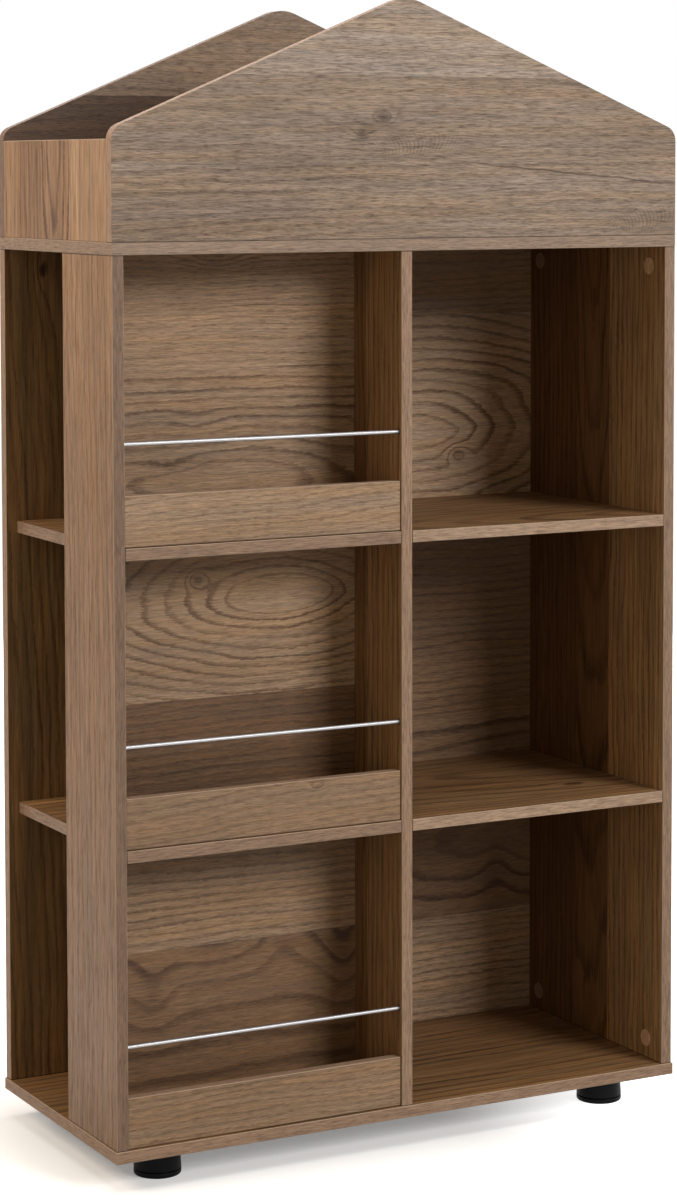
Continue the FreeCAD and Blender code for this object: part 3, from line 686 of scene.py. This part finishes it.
def paint(node, material):
    data = nodes[node].data
    data.materials.clear()
    data.materials.append(material)


steel = chrome()
black = moulded_black()
cap_brown = brown_plastic()
fitting = zinc()
dowel = beech()
for node_name, look in PRINTS.items():
    paint(node_name, Oak(node_name, look).dressed())
for level_name in RACK_LEVELS:
    paint(f"rack_rod_{level_name}", steel)
for node_name in ("cam_discs", "cam_bolts", "foot_screws"):
    paint(node_name, fitting)
for node_name in ("dowels", "through_dowels"):
    paint(node_name, dowel)


# Pieces with finer shapes than the solids

LATHE_STEPS = 64
ARC_STEPS = 5
SHARP_ANGLE = math.radians(35)


def moulded_piece(name, mesh, body, replaced):
    """A black plastic piece that rides on a body and stands for a plainer node."""
    mesh.materials.append(black)
    piece = bpy.data.objects.new(name, mesh)
    bpy.context.collection.objects.link(piece)
    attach(piece, body)
    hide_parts(replaced)


def lathe(name, outline, centre):
    """A smooth mesh from (radius, height) points, turned about the upright through the centre."""
    shape = bmesh.new()
    rows = []
    turns = [2 * math.pi * step / LATHE_STEPS for step in range(LATHE_STEPS)]
    for radius, height in outline:
        if radius == 0:
            rows.append([shape.verts.new((centre.x, centre.y, height))])
            continue
        row = [(centre.x + radius * math.cos(turn), centre.y + radius * math.sin(turn), height)
               for turn in turns]
        rows.append([shape.verts.new(place) for place in row])
    for low, high in zip(rows, rows[1:]):
        for step in range(LATHE_STEPS):
            after = (step + 1) % LATHE_STEPS
            lower = [low[step % len(low)], low[after % len(low)]]
            upper = [high[after % len(high)], high[step % len(high)]]
            # At a point on the axis two corners are one, and the face is a triangle.
            shape.faces.new(list(dict.fromkeys(lower + upper)))
    bmesh.ops.recalc_face_normals(shape, faces=shape.faces)
    mesh = bpy.data.meshes.new(name)
    shape.to_mesh(mesh)
    shape.free()
    mesh.shade_smooth()
    mesh.set_sharp_from_angle(angle=SHARP_ANGLE)
    return mesh


def rounded(centre, radius, start, end):
    """Outline points of an arc round a centre, between two angles in degrees."""
    angles = [math.radians(start + (end - start) * step / ARC_STEPS) for step in range(ARC_STEPS + 1)]
    return [(centre[0] + radius * math.cos(angle), centre[1] + radius * math.sin(angle))
            for angle in angles]


FOOT_CORNERS = ("front_left", "front_right", "rear_left", "rear_right")
FOOT_DRAFT = 0.0018
FOOT_CHAMFER = 0.001
FOOT_BORE = 0.0051
FOOT_BORE_DEPTH = 0.02
LIP = 0.0008
GLIDE_DISC = 0.0065
GLIDE_ROUND = 0.002
STEM = 0.005
STEM_CHAMFER = 0.0006
CAP_RIM = 0.0007
CAP_EDGE_ANGLE = math.radians(40)


def foot(corner):
    """A moulded foot with a little draft, a lip above the groove and a bore for the glide."""
    low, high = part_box(f"foot_{corner}")
    centre = (low + high) / 2
    rim = (high.x - low.x) / 2
    neck = rim - FOOT_DRAFT
    outline = [(FOOT_BORE, low.z + FOOT_BORE_DEPTH), (FOOT_BORE, low.z)]
    outline += rounded((rim - LIP, low.z + LIP), LIP, -90, 0)
    outline += [(neck, high.z - FOOT_CHAMFER), (neck - FOOT_CHAMFER, high.z), (0, high.z)]
    name = f"moulded_foot_{corner}"
    moulded_piece(name, lathe(name, outline, centre), "carcass", f"foot_{corner}")


def glide(corner):
    """A levelling glide: a disc with rounded rims on its stem."""
    low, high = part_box(f"glide_{corner}")
    centre = (low + high) / 2
    rim = (high.x - low.x) / 2
    top = low.z + GLIDE_DISC
    outline = [(0, low.z), (rim - GLIDE_ROUND, low.z)]
    outline += rounded((rim - GLIDE_ROUND, low.z + GLIDE_ROUND), GLIDE_ROUND, -90, 0)
    outline += rounded((rim - LIP, top - LIP), LIP, 0, 90)
    outline += [(STEM, top), (STEM, high.z - STEM_CHAMFER), (STEM - STEM_CHAMFER, high.z), (0, high.z)]
    name = f"levelling_glide_{corner}"
    moulded_piece(name, lathe(name, outline, centre), f"glide_{corner}", f"glide_{corner}")


for foot_corner in FOOT_CORNERS:
    foot(foot_corner)
    glide(foot_corner)
paint("cam_caps", cap_brown)
cap_rims = nodes["cam_caps"].modifiers.new("rim", "BEVEL")
cap_rims.width = CAP_RIM
cap_rims.segments = 2
cap_rims.angle_limit = CAP_EDGE_ANGLE


# Studio

FLOOR_HALF = 30.0
FLOOR_SEEN = srgb(240, 240, 240)
FLOOR_BOUNCE = srgb(110, 108, 105)

# The middle and half size of the patch under the shelf that glows least, the glow there, and how
# far from it the floor is white.
SHADE_CENTRE = (-0.14, 0.0, 0.0)
SHADE_HALF = (0.22, 0.14, 0.0)
SHADE_GLOW = 0.25
SHADE_FADE = 0.30
AMBIENT = (0.046, 0.034, 0.0175, 1)
LAMPS_AIM = Vector((0, 0, 0.75))

# Square lamps aimed at the middle of the shelf: how far to the right of the front and how high they
# stand in degrees, their distance, size, power and colour.
Lamp = namedtuple("Lamp", "name azimuth elevation distance size power colour", defaults=((1, 1, 1),))
LAMPS = [
    Lamp("key", 25, 24, 7.0, 2.5, 347),
    Lamp("fill", -24, 8, 4.0, 2.5, 9, (1.0, 0.86, 0.62)),
    Lamp("side", -58, 8, 4.0, 2.5, 16, (1.0, 0.86, 0.60)),
    Lamp("left", -96, 36, 3.2, 1.4, 59, (1.0, 0.84, 0.66)),
    Lamp("top", 0, 89, 3.2, 3.0, 69),
    Lamp("back", 155, 8, 4.0, 2.5, 55),
]


def studio_floor():
    """A pale floor that keeps the soft shadow under the shelf and fades to white round it."""
    mesh = bpy.data.meshes.new("floor")
    corners = [(x * FLOOR_HALF, y * FLOOR_HALF, 0) for x, y in ((-1, -1), (1, -1), (1, 1), (-1, 1))]
    mesh.from_pydata(corners, [], [(0, 1, 2, 3)])
    floor = bpy.data.objects.new("floor", mesh)
    bpy.context.collection.objects.link(floor)
    tree = Tree("studio_floor")
    seen = tree.seen()
    white = tree.add("BsdfDiffuse", {"Color": tree.blend(seen, FLOOR_BOUNCE, FLOOR_SEEN)})
    place = tree.vector("SUBTRACT", tree.add("TexCoord").outputs["Object"], SHADE_CENTRE)
    away = tree.vector("SUBTRACT", tree.vector("ABSOLUTE", place), SHADE_HALF)
    away = tree.vector("MAXIMUM", away, (0.0, 0.0, 0.0))
    distance = tree.vector("LENGTH", away)
    strength = tree.spread(distance, 0.0, SHADE_FADE, SHADE_GLOW, 1.0, smooth=True)
    strength = tree.math("MULTIPLY", seen, strength)
    glow = tree.add("Emission", {"Color": WHITE, "Strength": strength})
    both = tree.add("AddShader")
    tree.links.new(white.outputs[0], both.inputs[0])
    tree.links.new(glow.outputs[0], both.inputs[1])
    mesh.materials.append(tree.shade(both.outputs[0]))


def studio_world():
    """White for the camera and in gloss and glass, and a faint warm fill for everything else."""
    world = bpy.data.worlds.new("studio")
    bpy.context.scene.world = world
    tree = Tree("studio", world)
    colour = tree.blend(tree.seen(), AMBIENT, WHITE)
    background = tree.add("Background", {"Color": colour, "Strength": 1.0})
    output = tree.add("OutputWorld")
    tree.links.new(background.outputs[0], output.inputs["Surface"])


def softbox(lamp):
    turn = math.radians(lamp.azimuth)
    lift = math.radians(lamp.elevation)
    away = Vector((math.sin(turn) * math.cos(lift), -math.cos(turn) * math.cos(lift), math.sin(lift)))
    data = bpy.data.lights.new(lamp.name, "AREA")
    data.energy = lamp.power
    data.size = lamp.size
    data.color = lamp.colour
    box = bpy.data.objects.new(lamp.name, data)
    box.location = LAMPS_AIM + away * lamp.distance
    box.rotation_euler = (-away).to_track_quat("-Z", "Y").to_euler()
    bpy.context.collection.objects.link(box)


def studio_camera():
    """The camera: place, turn to the right, tilt down, roll, focal length and shift.

    The image is higher than wide, so the lens and the shift are measured by its height.
    """
    place = Vector((-1.8922, -3.5575, 1.2349))
    turn, tilt, roll = (math.radians(angle) for angle in (27.979, 3.523, -0.103))
    focal_pixels = 3116.0
    axis_row = 359.0
    forward = Vector((math.sin(turn) * math.cos(tilt), math.cos(turn) * math.cos(tilt), -math.sin(tilt)))
    data = bpy.data.cameras.new("camera")
    data.lens = focal_pixels * data.sensor_width / IMAGE_HEIGHT
    data.shift_y = axis_row / IMAGE_HEIGHT - 0.5
    camera = bpy.data.objects.new("camera", data)
    aimed = forward.to_track_quat("-Z", "Y").to_matrix() @ Matrix.Rotation(roll, 3, "Z")
    camera.matrix_world = Matrix.Translation(place) @ aimed.to_4x4()
    bpy.context.collection.objects.link(camera)
    bpy.context.scene.camera = camera


studio_floor()
studio_world()
for lamp in LAMPS:
    softbox(lamp)
studio_camera()
bpy.context.scene.view_settings.view_transform = "Standard"
